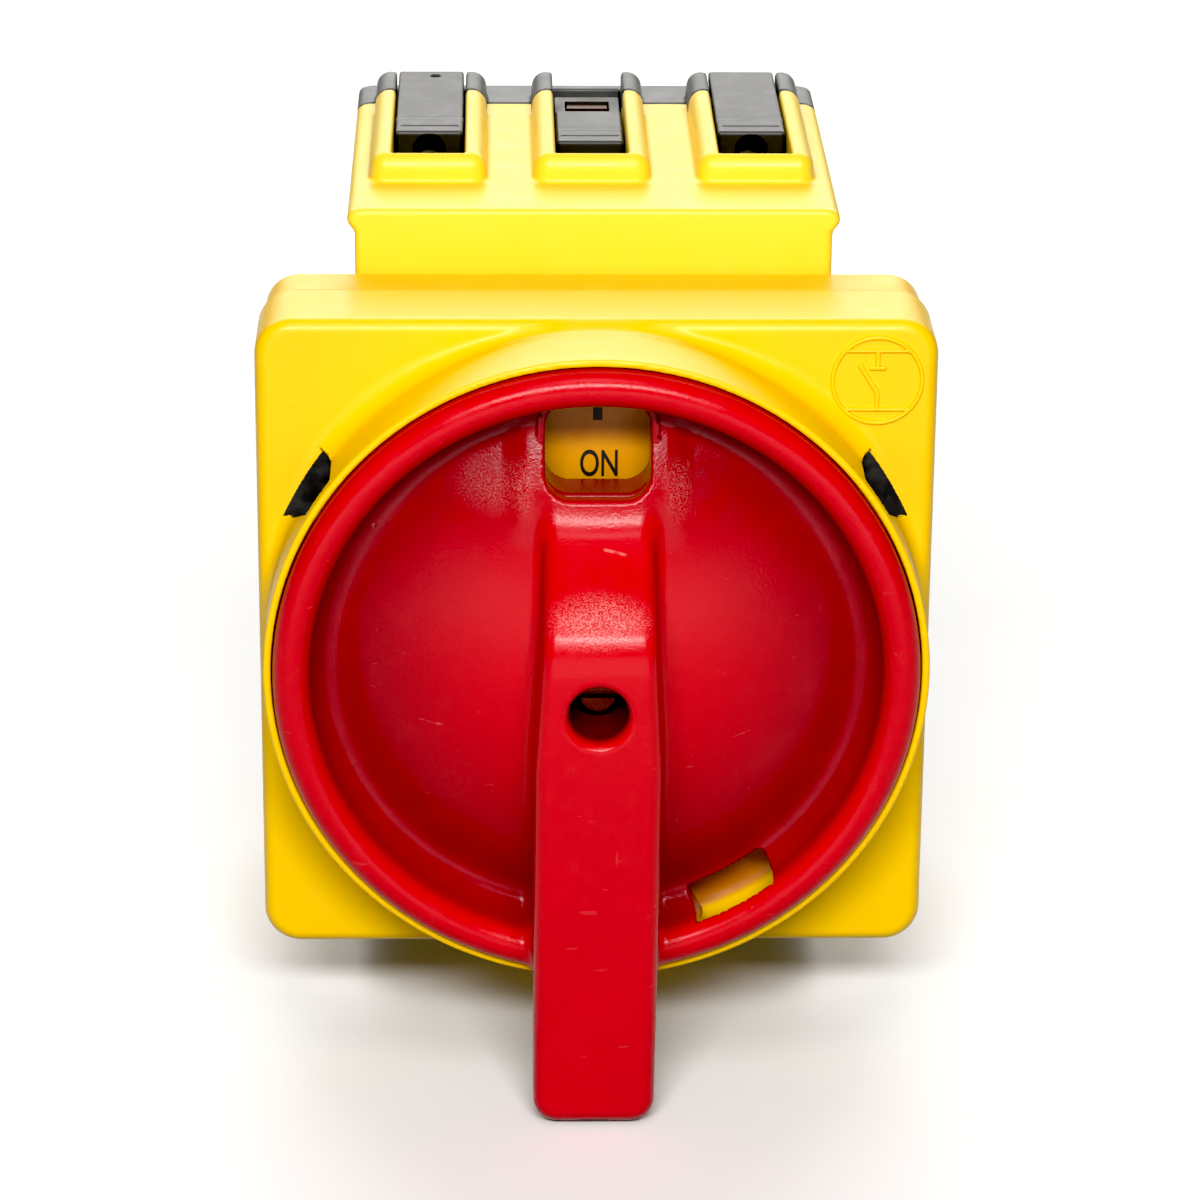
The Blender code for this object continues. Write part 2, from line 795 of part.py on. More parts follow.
leaf = box(9.85, 10.75, 29.6, 33.6, -18.2, 18.2)
piece(leaf, "detent_spring_r", SPRING)
copy_of(leaf, "detent_spring_l", 0, 0, 0, (0, 180, 0))


# ---------------------------------------------------------------- cam drum and carrier
def helix_cutter(start):
    """The groove's swept block: it rises TRAVEL along Y for each quarter turn."""
    sec = []
    steps = 14
    lead = TRAVEL / 90.0
    for k in range(steps + 1):
        turn = -106.0 + 122.0 * k / steps
        a = math.radians(start + turn)
        y = PIN_Y + lead * turn
        c, s = math.cos(a), math.sin(a)
        sec.append(
            [
                (r * c, yy, r * s)
                for r, yy in (
                    (GROOVE_BOTTOM, y - GROOVE_W / 2),
                    (DRUM_R + 2, y - GROOVE_W / 2),
                    (DRUM_R + 2, y + GROOVE_W / 2),
                    (GROOVE_BOTTOM, y + GROOVE_W / 2),
                )
            ]
        )
    return rings(sec)


drum = turned(
    [
        (0, DRUM_FROM),
        (DRUM_R - 0.5, DRUM_FROM),
        (DRUM_R, DRUM_FROM + 0.5),
        (DRUM_R, DRUM_TO - 0.5),
        (DRUM_R - 0.5, DRUM_TO),
        (0, DRUM_TO),
    ],
    36,
)
cut(drum, helix_cutter(90.0), helix_cutter(270.0))
cut(drum, box(-SOCKET / 2, SOCKET / 2, 30, 60, -SOCKET / 2, SOCKET / 2))
piece(drum, "cam_drum", BLACK, moving=True)

carrier = box(-28.0, 28.0, 57.0, 60.0, -8.0, 8.0)
add(carrier, rod(11.6, 42.0, 58.0, n=32))
cut(carrier, rod(8.9, 41.0, 57.0, n=32))
for angle in (90.0, 270.0):
    ring = [
        (
            PIN_Y + PIN_R * math.cos(2 * math.pi * i / 14),
            PIN_R * math.sin(2 * math.pi * i / 14),
        )
        for i in range(14)
    ]
    pin = rings([[(x, y, z) for y, z in ring] for x in (6.9, 10.4)])
    spin(pin, angle)
    add(carrier, pin)
for x0 in POLES:
    cage = box(x0 - 5.6, x0 + 5.6, 59.5, 75.4, -4.0, 4.0)
    cut(cage, box(x0 - 4.4, x0 + 4.4, 59.0, 73.9, -5.0, 5.0))
    add(carrier, cage)
piece(carrier, "contact_carrier", BLACK)


# ---------------------------------------------------------------- contacts and springs
def pad(z, y0, y1):
    return rod(2.6, y0, y1, 0, z, 14)


bridge = box(-4.0, 4.0, 70.6, 72.2, -20.0, 20.0)
add(bridge, pad(16.0, 71.5, 72.8), pad(-16.0, 71.5, 72.8))
piece(bridge, "contact_bridge_m", COPPER)
copy_of(bridge, "contact_bridge_l", POLES[0])
copy_of(bridge, "contact_bridge_r", POLES[2])

bar = box(-2.9, 2.9, 74.0, 76.0, 12.0, 53.0)
add(bar, pad(16.0, 73.1, 74.6))
piece(bar, "fixed_contact_top_m", COPPER)
copy_of(bar, "fixed_contact_top_l", POLES[0])
copy_of(bar, "fixed_contact_top_r", POLES[2])
for x0, tag in zip(POLES, "lmr"):
    copy_of(bar, "fixed_contact_bottom_" + tag, x0, 0, 0, (0, 180, 0))


def coil(r, wire, y0, y1, turns, steps=9, sides=5):
    """A closed-end compression spring's wire, as one swept tube."""
    sec = []
    n = int(turns * steps)
    for k in range(n + 1):
        t = k / n
        a = 2 * math.pi * turns * t
        dead = 0.16
        u = min(max((t - dead * 0.5) / (1 - dead), 0.0), 1.0)
        y = y0 + wire + (y1 - y0 - 2 * wire) * (0.88 * u + 0.12 * t)
        sec.append(
            [
                (
                    (r + wire * math.cos(b)) * math.cos(a),
                    y + wire * math.sin(b),
                    (r + wire * math.cos(b)) * math.sin(a),
                )
                for b in (2 * math.pi * i / sides for i in range(sides))
            ]
        )
    return rings(sec)


spring = coil(2.9, 0.45, 60.3, 70.3, 4.5)
piece(spring, "contact_spring_m", SPRING)
copy_of(spring, "contact_spring_l", POLES[0])
copy_of(spring, "contact_spring_r", POLES[2])

# ---------------------------------------------------------------- terminals
clamp = box(-4.6, 4.6, 62.5, 78.5, 45.7, 53.4)
cut(clamp, box(-3.2, 3.2, 65.5, 76.3, 45, 56))
cut(clamp, rod(2.3, 60, 67, 0, SCREW_Z, 10))
piece(clamp, "terminal_clamp_top_m", STEEL)
copy_of(clamp, "terminal_clamp_top_l", POLES[0])
copy_of(clamp, "terminal_clamp_top_r", POLES[2])
for x0, tag in zip(POLES, "lmr"):
    copy_of(clamp, "terminal_clamp_bottom_" + tag, x0, 0, -DROP, (0, 180, 0))

tscrew = screw_shape(3.0, 2.2, 2.0, 8.2)
piece(tscrew, "terminal_screw_top_m", STEEL)
tscrew.location = (0, 59.2 * MM, SCREW_Z * MM)
copy_of(tscrew, "terminal_screw_top_l", POLES[0], 59.2, SCREW_Z)
copy_of(tscrew, "terminal_screw_top_r", POLES[2], 59.2, SCREW_Z)
for x0, tag in zip(POLES, "lmr"):
    copy_of(tscrew, "terminal_screw_bottom_" + tag, x0, 59.2, -SCREW_Z - DROP)
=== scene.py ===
import json
import math

import bpy
import numpy as np
from mathutils import Matrix, Vector


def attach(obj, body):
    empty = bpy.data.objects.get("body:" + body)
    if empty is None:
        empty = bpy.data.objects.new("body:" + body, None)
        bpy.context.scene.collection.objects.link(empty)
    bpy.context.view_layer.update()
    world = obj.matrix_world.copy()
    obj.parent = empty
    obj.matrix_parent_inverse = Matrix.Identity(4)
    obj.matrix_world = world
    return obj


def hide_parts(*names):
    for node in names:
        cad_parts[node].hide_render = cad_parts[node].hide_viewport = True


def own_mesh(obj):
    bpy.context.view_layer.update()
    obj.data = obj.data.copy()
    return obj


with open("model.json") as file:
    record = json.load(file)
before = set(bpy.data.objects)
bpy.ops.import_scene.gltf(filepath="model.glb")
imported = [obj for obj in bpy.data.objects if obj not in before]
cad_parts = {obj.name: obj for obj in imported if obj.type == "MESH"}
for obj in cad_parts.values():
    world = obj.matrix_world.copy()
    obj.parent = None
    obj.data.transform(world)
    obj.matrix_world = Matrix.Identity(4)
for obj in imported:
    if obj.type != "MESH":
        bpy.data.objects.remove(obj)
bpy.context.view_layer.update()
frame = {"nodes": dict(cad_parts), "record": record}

# Design frame in millimetres: X right, Y to the rear with Y = 0 on the plate's face,
# Z up, shaft axis along Y through X = Z = 0.  The row frame is this one shifted.
ROW_Y, ROW_Z = 30.0, 59.2
POLES = {"l": -22.5, "m": 0.0, "r": 22.5}
SIDE = 1.1  # the body is symmetric about Z = -SIDE


def row(x, y, z):
    return Vector((x / 1000.0, (y - ROW_Y) / 1000.0, (z + ROW_Z) / 1000.0))


# ------------------------------------------------------------------ camera and stage
scene = bpy.context.scene
scene.view_settings.view_transform = "Standard"
scene.view_settings.use_curve_mapping = True
scene.view_settings.curve_mapping.black_level = (0.016, 0.016, 0.016)
scene.view_settings.curve_mapping.white_level = (1.0, 1.0, 1.0)

pitch, yaw, roll = (math.radians(a) for a in (21.62, 1.44, 0.49))
forward = Vector(
    (math.sin(yaw) * math.cos(pitch), math.cos(yaw) * math.cos(pitch), -math.sin(pitch))
)
side0 = Vector((math.cos(yaw), -math.sin(yaw), 0.0))
up0 = side0.cross(forward)
side = side0 * math.cos(roll) + up0 * math.sin(roll)
up = -side0 * math.sin(roll) + up0 * math.cos(roll)
eye = side * 0.70 + up * 5.39 - forward * 630.8
cam_data = bpy.data.cameras.new("camera")
cam_data.lens = 140.94
cam_data.sensor_width = 36.0
cam_data.clip_start = 0.02
cam_data.clip_end = 20.0
cam = bpy.data.objects.new("camera", cam_data)
cam.matrix_world = Matrix.Translation(row(*eye)) @ Matrix((side, up, -forward)).transposed().to_4x4()
scene.collection.objects.link(cam)
scene.camera = cam


def area_light(name, at, to, size, power, colour=(1.0, 1.0, 1.0), size_y=None, spread=180.0):
    data = bpy.data.lights.new(name, "AREA")
    data.shape = "RECTANGLE"
    data.size = size
    data.size_y = size_y or size
    data.energy = power
    data.color = colour
    data.spread = math.radians(spread)
    ob = bpy.data.objects.new(name, data)
    a, b = Vector(at), Vector(to)
    ob.matrix_world = Matrix.Translation(a) @ (b - a).to_track_quat("-Z", "Y").to_matrix().to_4x4()
    scene.collection.objects.link(ob)
    return ob


centre = (0.0, 0.0, 0.06)
area_light("key", (-0.03, -0.76, 0.56), centre, 0.5, 8.4, (1.0, 0.985, 0.96), 0.13)
area_light("top", (0.0, -0.42, 0.86), (0.0, 0.02, 0.06), 0.3, 1.2, (0.97, 0.985, 1.0), 0.3)
area_light("back_card", (0.0, 1.25, 0.75), (0.0, 0.05, 0.1), 1.8, 15.0, (1.0, 0.985, 0.95), 0.75)
area_light("rear_wash", (0.0, 0.8, 0.9), (0.0, 0.4, 0.0), 1.0, 5.0, (1.0, 0.99, 0.97), 0.5)
area_light("low_fill", (0.0, -0.5, 0.03), (0.0, 0.0, 0.03), 0.7, 0.7, (1.0, 0.99, 0.97), 0.2)

world = bpy.data.worlds.new("studio")
world.use_nodes = True
sky = world.node_tree.nodes["Background"]
sky.inputs["Color"].default_value = (1.0, 1.0, 1.0, 1.0)
sky.inputs["Strength"].default_value = 0.07
scene.world = world


# ------------------------------------------------------------------ materials
class Graph:
    """A short way to write a material's node tree."""

    def __init__(self, name):
        self.mat = bpy.data.materials.new(name)
        self.mat.use_nodes = True
        self.nodes = self.mat.node_tree.nodes
        self.links = self.mat.node_tree.links
        self.bsdf = self.nodes["Principled BSDF"]
        self.coords = self.nodes.new("ShaderNodeTexCoord").outputs["Object"]

    def put(self, socket, value):
        if isinstance(value, bpy.types.NodeSocket):
            self.links.new(value, socket)
        else:
            socket.default_value = value

    def scaled(self, sx, sy, sz, turn=(0, 0, 0)):
        n = self.nodes.new("ShaderNodeMapping")
        n.inputs["Scale"].default_value = (sx, sy, sz)
        n.inputs["Rotation"].default_value = [math.radians(a) for a in turn]
        self.links.new(self.coords, n.inputs["Vector"])
        return n.outputs["Vector"]

    def noise(self, scale, detail=3.0, rough=0.55, vector=None, distortion=0.0):
        n = self.nodes.new("ShaderNodeTexNoise")
        n.inputs["Scale"].default_value = scale
        n.inputs["Detail"].default_value = detail
        n.inputs["Roughness"].default_value = rough
        n.inputs["Distortion"].default_value = distortion
        self.links.new(vector or self.coords, n.inputs["Vector"])
        return n.outputs["Fac"]

    def cells(self, scale):
        n = self.nodes.new("ShaderNodeTexVoronoi")
        n.inputs["Scale"].default_value = scale
        self.links.new(self.coords, n.inputs["Vector"])
        return n.outputs["Distance"]

    def fit(self, value, a, b, c, d, smooth=True):
        n = self.nodes.new("ShaderNodeMapRange")
        n.interpolation_type = "SMOOTHSTEP" if smooth else "LINEAR"
        for k, v in zip(("From Min", "From Max", "To Min", "To Max"), (a, b, c, d)):
            n.inputs[k].default_value = v
        self.put(n.inputs["Value"], value)
        return n.outputs["Result"]

    def math(self, op, a, b=0.0, c=0.0):
        n = self.nodes.new("ShaderNodeMath")
        n.operation = op
        for k, v in enumerate((a, b, c)):
            self.put(n.inputs[k], v)
        return n.outputs[0]

    def mix(self, fac, a, b):
        n = self.nodes.new("ShaderNodeMix")
        n.data_type = "RGBA"
        self.put(n.inputs[0], fac)
        for k, v in ((6, a), (7, b)):
            self.put(n.inputs[k], v if isinstance(v, bpy.types.NodeSocket) else (*v, 1.0))
        return n.outputs[2]

    def bump(self, height, distance, strength=1.0, under=None):
        n = self.nodes.new("ShaderNodeBump")
        n.inputs["Distance"].default_value = distance
        n.inputs["Strength"].default_value = strength
        self.links.new(height, n.inputs["Height"])
        if under:
            self.links.new(under, n.inputs["Normal"])
        return n.outputs["Normal"]

    def split(self):
        n = self.nodes.new("ShaderNodeSeparateXYZ")
        self.links.new(self.coords, n.inputs[0])
        return n.outputs


def stroke(g, a, b, width, fade=0.35):
    """A mask, 1 on a thin stroke between two points of the row frame and 0 off it."""
    a, b = row(*a), row(*b)
    d = b - a
    rel = g.nodes.new("ShaderNodeVectorMath")
    rel.operation = "SUBTRACT"
    g.links.new(g.coords, rel.inputs[0])
    rel.inputs[1].default_value = a
    dot = g.nodes.new("ShaderNodeVectorMath")
    dot.operation = "DOT_PRODUCT"
    g.links.new(rel.outputs[0], dot.inputs[0])
    dot.inputs[1].default_value = d / d.length_squared
    t = g.math("MINIMUM", g.math("MAXIMUM", dot.outputs["Value"], 0.0), 1.0)
    along = g.nodes.new("ShaderNodeVectorMath")
    along.operation = "SCALE"
    along.inputs[0].default_value = d
    g.links.new(t, along.inputs["Scale"])
    gap = g.nodes.new("ShaderNodeVectorMath")
    gap.operation = "DISTANCE"
    g.links.new(rel.outputs[0], gap.inputs[0])
    g.links.new(along.outputs[0], gap.inputs[1])
    w = width / 1000.0
    return g.fit(gap.outputs["Value"], w * fade, w, 1.0, 0.0)


def plastic(name, colour, pale, deep, rough, grain=0.0, cloudy=0.5, spec=0.5, scuffs=(), wear=0.0, coat=0.0, dusty=0.03, dish_shade=None, under_handle_shade=None, recess_shade=None, glint_patches=()):
    """Moulded plastic: cloudy colour, fine spark-eroded grain, faint flow lines, dust and hair scratches, and where
    asked painted shade and painted highlights.
    """
    g = Graph(name)
    broad = g.noise(38.0, 2.0, 0.5)
    fine = g.noise(2600.0, 3.0, 0.6)
    mid = g.noise(260.0, 4.0, 0.6)
    c = g.mix(g.fit(broad, 0.3, 0.7, 0.0, cloudy), colour, deep)
    c = g.mix(g.fit(mid, 0.45, 0.75, 0.0, dusty), c, pale)
    if dish_shade:
        # painted shade: the colour darkens low in the dish, towards the valley under the rim, a little patchy
        high, low, dark = dish_shade
        depth = g.fit(g.split()[1], high, low, 0.0, 1.0)
        depth = g.math("MULTIPLY", depth, g.fit(mid, 0.2, 0.6, 0.85, 1.0))
        c = g.mix(depth, c, dark)
        # and painted shade darkens the inside of the screw's deep access hole
        x, y, z = g.split()
        zz = g.math("SUBTRACT", z, ROW_Z / 1000.0)
        r = g.math("SQRT", g.math("ADD", g.math("MULTIPLY", x, x), g.math("MULTIPLY", zz, zz)))
        bore_shade = g.math("MULTIPLY", g.fit(r, 0.0041, 0.0045, 0.9, 0.0), g.fit(y, -0.0562, -0.0545, 0.0, 1.0))
        c = g.mix(bore_shade, c, (0.07, 0.0012, 0.004))
    if under_handle_shade:
        # painted shade and painted red reflection on the plate's face under the handle: amber in the middle, browner
        # under the rim
        amber, brown = under_handle_shade
        x, y, z = g.split()
        zz = g.math("SUBTRACT", z, ROW_Z / 1000.0)
        r = g.math("SQRT", g.math("ADD", g.math("MULTIPLY", x, x), g.math("MULTIPLY", zz, zz)))
        under = g.math("MULTIPLY", g.fit(r, 0.0414, 0.0424, 1.0, 0.0), g.fit(y, -0.0318, -0.0309, 0.0, 1.0))
        under = g.math("MULTIPLY", under, g.fit(y, -0.0297, -0.0293, 1.0, 0.0))
        patchy = g.fit(mid, 0.25, 0.7, 0.9, 1.0)
        c = g.mix(g.math("MULTIPLY", under, patchy), c, g.mix(g.fit(r, 0.0275, 0.0305, 0.0, 1.0), amber, brown))
    if recess_shade:
        # painted shade: dark inside the terminal windows below their mouths, on the shields' front faces and along the
        # middle pole's channel
        x, y, z = g.split()
        across = g.math("ABSOLUTE", g.math("WRAP", x, 0.01125, -0.01125))
        q = g.math("ABSOLUTE", g.math("SUBTRACT", z, (ROW_Z - SIDE) / 1000.0))
        m = g.math("MULTIPLY", g.fit(across, 0.00515, 0.0054, 1.0, 0.0), g.fit(q, 0.0555, 0.0561, 1.0, 0.0))
        m = g.math("MULTIPLY", m, g.fit(y, 0.0538, 0.0543, 1.0, 0.0))
        face = g.math("MULTIPLY", g.fit(y, 0.0192, 0.0197, 1.0, 0.0), g.fit(q, 0.0571, 0.0576, 1.0, 0.0))
        well = g.math("MULTIPLY", g.fit(g.math("ABSOLUTE", x), 0.00515, 0.0054, 1.0, 0.0), g.fit(y, 0.0352, 0.0355, 0.0, 1.0))
        well = g.math("MULTIPLY", well, g.fit(y, 0.0541, 0.0544, 1.0, 0.0))
        m = g.math("MAXIMUM", m, g.math("MAXIMUM", face, well))
        c = g.mix(m, c, recess_shade)
    hair = g.noise(1100.0, 1.0, 0.5, g.scaled(1.0, 1.0, 0.16, (0, 38, 0)))
    hair2 = g.noise(960.0, 1.0, 0.5, g.scaled(0.17, 1.0, 1.0, (0, 9, 0)))
    lines = g.math("MAXIMUM", g.fit(hair, 0.755, 0.775, 0.0, 1.0), g.fit(hair2, 0.75, 0.775, 0.0, 1.0))
    lines = g.math("MULTIPLY", lines, g.fit(broad, 0.42, 0.62, 0.0, 1.0))
    c = g.mix(g.math("MULTIPLY", lines, wear), c, pale)
    for at, size, strength in glint_patches:
        # a painted highlight: pale specks over a patch stand in for the grainy glints where the light catches the grain
        away = g.nodes.new("ShaderNodeVectorMath")
        away.operation = "SUBTRACT"
        g.links.new(g.coords, away.inputs[0])
        away.inputs[1].default_value = row(*at)
        part_of = g.nodes.new("ShaderNodeVectorMath")
        part_of.operation = "DIVIDE"
        g.links.new(away.outputs[0], part_of.inputs[0])
        part_of.inputs[1].default_value = [v / 1000.0 for v in size]
        far = g.nodes.new("ShaderNodeVectorMath")
        far.operation = "LENGTH"
        g.links.new(part_of.outputs[0], far.inputs[0])
        specks = g.fit(g.noise(4600.0, 2.0, 0.6), 0.4, 0.7, 0.0, strength)
        c = g.mix(g.math("MULTIPLY", specks, g.fit(far.outputs["Value"], 0.25, 1.0, 1.0, 0.0)), c, (1.0, 0.5, 0.45))
    mask = None
    for a, b, w in scuffs:
        m = stroke(g, a, b, w)
        mask = m if mask is None else g.math("MAXIMUM", mask, m)
    if mask is not None:
        broken = g.math("MULTIPLY", mask, g.fit(g.noise(1500.0, 2.0), 0.4, 0.55, 0.15, 0.85))
        c = g.mix(broken, c, pale)
    g.put(g.bsdf.inputs["Base Color"], c)
    r = g.fit(mid, 0.25, 0.75, rough - 0.05, rough + 0.07)
    r = g.math("ADD", r, g.math("MULTIPLY", lines, 0.12))
    if mask is not None:
        r = g.math("ADD", r, g.math("MULTIPLY", mask, 0.2))
    g.put(g.bsdf.inputs["Roughness"], r)
    g.bsdf.inputs["Specular IOR Level"].default_value = spec
    g.bsdf.inputs["IOR"].default_value = 1.5
    if coat:
        g.bsdf.inputs["Coat Weight"].default_value = coat
        g.bsdf.inputs["Coat Roughness"].default_value = 0.12
    n = g.bump(g.noise(70.0, 1.0, 0.4), 0.00006, 0.7)
    n = g.bump(fine, 0.00001 + 0.00002 * grain, 1.0, n)
    n = g.bump(lines, 0.000012, 0.6, n)
    if mask is not None:
        n = g.bump(g.math("MULTIPLY", mask, g.fit(fine, 0.3, 0.7, 0.0, 1.0)), 0.00002, 1.0, n)
    g.put(g.bsdf.inputs["Normal"], n)
    return g.mat


def metal(name, colour, deep, rough, grain_axis=(1.0, 1.0, 0.04), stain=(0.4, 0.36, 0.3), stained=0.25):
    g = Graph(name)
    brushed = g.noise(5200.0, 3.0, 0.6, g.scaled(*grain_axis))
    broad = g.noise(180.0, 3.0, 0.6)
    c = g.mix(g.fit(brushed, 0.3, 0.7, 0.0, 1.0), deep, colour)
    c = g.mix(g.fit(broad, 0.5, 0.8, 0.0, stained), c, stain)
    g.put(g.bsdf.inputs["Base Color"], c)
    g.bsdf.inputs["Metallic"].default_value = 1.0
    g.put(g.bsdf.inputs["Roughness"], g.fit(broad, 0.3, 0.75, rough - 0.06, rough + 0.12))
    g.put(g.bsdf.inputs["Normal"], g.bump(brushed, 0.000008, 1.0))
    return g.mat


RED_SCUFFS = (
    ((-29.3, -9.3, -6.9), (-26.8, -10.2, -7.1), 0.3),
    ((-23.6, -11.3, -6.7), (-20.6, -12.1, -7.2), 0.32),
    ((-31.0, -8.2, -10.6), (-28.4, -9.2, -10.6), 0.3),
    ((-23.2, -11.3, -8.1), (-21.8, -11.7, -8.2), 0.26),
    ((-26.7, -10.5, 2.9), (-25.5, -10.9, 2.5), 0.3),
    ((-25.4, -11.0, -0.5), (-25.1, -11.1, -0.8), 0.28),
    ((26.1, -10.7, 1.8), (26.6, -10.6, 1.7), 0.3),
    ((18.0, -12.6, -8.9), (20.5, -12.0, -8.1), 0.22),
    ((0.9, -15.6, 19.0), (3.5, -16.2, 18.5), 0.3),
)
# the red handle carries painted shade low in the dish and in the screw hole, and painted highlight specks on the
# lever's bend and beside the window
RED = plastic("red_moulding", (0.6, 0.0018, 0.0105), (0.88, 0.17, 0.15), (0.53, 0.0014, 0.0098), 0.21, 1.2, 0.5, 0.21, RED_SCUFFS, 0.12, dish_shade=(-0.0455, -0.0372, (0.28, 0.0012, 0.009)), glint_patches=(
    ((0.0, -24.4, 12.4), (8.6, 7.0, 4.4), 0.5),
    ((-14.5, -11.5, 26.5), (8.0, 6.0, 5.5), 0.2),
    ((10.6, -12.0, 26.0), (2.6, 6.0, 6.5), 0.22),
    ((-9.6, -12.0, 26.0), (1.8, 6.0, 6.0), 0.2),
))
# the yellow plate carries painted shade and painted red reflection on its face under the handle
YELLOW = plastic("yellow_moulding", (0.95, 0.58, 0.004), (1.0, 0.78, 0.14), (0.93, 0.55, 0.0035), 0.36, 0.45, 0.4, 0.34, (), 0.08, under_handle_shade=((0.66, 0.28, 0.006), (0.48, 0.15, 0.005)))
YELLOW_COVER = plastic("yellow_cover_moulding", (0.96, 0.68, 0.03), (1.0, 0.85, 0.26), (0.94, 0.64, 0.022), 0.38, 0.6, 0.4, 0.45, (), 0.08)
# both grays carry painted shade inside the terminal windows, on the shields' front faces and in the middle channel
GRAY = plastic("gray_moulding", (0.085, 0.085, 0.082), (0.17, 0.17, 0.165), (0.066, 0.066, 0.064), 0.42, 1.2, 0.6, 0.5, (), 0.35, 0.0, 0.12, recess_shade=(0.008, 0.008, 0.007))
GRAY_DARK = plastic("gray_shield_moulding", (0.05, 0.05, 0.048), (0.16, 0.16, 0.155), (0.03, 0.03, 0.029), 0.4, 1.2, 1.0, 0.42, (), 0.5, 0.0, 0.28, recess_shade=(0.008, 0.008, 0.007))
# painted shade: the fixed contacts' copper is darkened to stand in for the shade inside the terminal windows
SHADE_DARKENED_COPPER = metal("copper_darkened_as_shade", (0.09, 0.045, 0.03), (0.05, 0.024, 0.016), 0.45, (1.0, 1.0, 0.05), (0.03, 0.02, 0.015), 0.5)
BLACK = plastic("black_moulding", (0.02, 0.02, 0.021), (0.09, 0.09, 0.09), (0.012, 0.012, 0.012), 0.45, 1.0, 0.5, 0.5, (), 0.2)
INK = plastic("black_ink", (0.012, 0.011, 0.01), (0.05, 0.04, 0.03), (0.008, 0.007, 0.007), 0.55, 0.4, 0.5, 0.4)
STEEL = metal("zinc_plate", (0.72, 0.72, 0.7), (0.5, 0.5, 0.49), 0.3, (1.0, 0.05, 1.0), (0.52, 0.5, 0.4), 0.3)
# painted shade: the clamps' steel is darkened to stand in for the shade inside the terminal windows
SHADE_DARKENED_STEEL = metal("steel_darkened_as_shade", (0.06, 0.057, 0.053), (0.03, 0.028, 0.026), 0.42, (1.0, 0.05, 1.0), (0.1, 0.06, 0.04), 0.3)
SPRING = metal("spring_wire", (0.56, 0.56, 0.57), (0.36, 0.36, 0.38), 0.25, (1.0, 0.05, 1.0), (0.3, 0.28, 0.25), 0.2)
COPPER = metal("bare_copper", (0.8, 0.44, 0.27), (0.62, 0.29, 0.16), 0.3, (1.0, 1.0, 0.05), (0.35, 0.14, 0.08), 0.45)


def rubber():
    g = Graph("black_rubber")
    mottled = g.noise(420.0, 4.0, 0.6)
    g.put(g.bsdf.inputs["Base Color"], g.mix(g.fit(mottled, 0.35, 0.7, 0.0, 1.0), (0.012, 0.012, 0.012), (0.035, 0.034, 0.033)))
    g.put(g.bsdf.inputs["Roughness"], g.fit(mottled, 0.3, 0.7, 0.72, 0.9))
    g.put(g.bsdf.inputs["Normal"], g.bump(g.noise(1800.0, 3.0), 0.00003))
    return g.mat


RUBBER = rubber()
RUBBER.node_tree.nodes["Principled BSDF"].inputs["Specular IOR Level"].default_value = 0.12
# the handle screw's colour is painted: dark for the shade in its deep hole, reddish for the handle's red reflected on
# it
SCREW = metal("screw_painted_shade_and_red_reflection", (0.2, 0.045, 0.035), (0.09, 0.02, 0.016), 0.4, (1.0, 0.05, 1.0), (0.1, 0.05, 0.03), 0.4)

CARRIED = {
    "yellow_plastic": YELLOW,
    "red_plastic": RED,
    "gray_plastic": GRAY,
    "black_plastic": BLACK,
    "rubber": RUBBER,
    "zinc_steel": STEEL,
    "spring_steel": SPRING,
    "copper": COPPER,
}
for part in frame["record"]["subparts"]:
    ob = frame["nodes"][part["node"]]
    mat = CARRIED[part["material_slot"]]
    # painted shade: clamps and fixed contacts get darkened colours for the shade inside the terminal windows
    if "clamp" in part["node"]:
        mat = SHADE_DARKENED_STEEL
    if "fixed_contact" in part["node"]:
        mat = SHADE_DARKENED_COPPER
    # painted shade and painted red reflection for the handle screw
    if part["node"] == "handle_screw":
        mat = SCREW
    for s in ob.material_slots:
        s.material = mat
    if not ob.material_slots:
        ob.data.materials.append(mat)


# ------------------------------------------------------------------ distance fields, mm
def box2(a, b, ha, hb, r):
    da, db = np.abs(a) - ha + r, np.abs(b) - hb + r
    return np.minimum(np.maximum(da, db), 0) + np.hypot(np.maximum(da, 0), np.maximum(db, 0)) - r


def both(a, b, r):
    """Intersection with its convex edge rounded to r."""
    return np.minimum(-r, np.maximum(a, b)) + np.hypot(np.maximum(a + r, 0), np.maximum(b + r, 0))


def join(a, b, r):
    """Union with its concave corner filled to r."""
    return np.maximum(r, np.minimum(a, b)) - np.hypot(np.maximum(r - a, 0), np.maximum(r - b, 0))


def less(a, b, r):
    return both(a, -b, r)


def slab(v, lo, hi):
    return np.maximum(lo - v, v - hi)


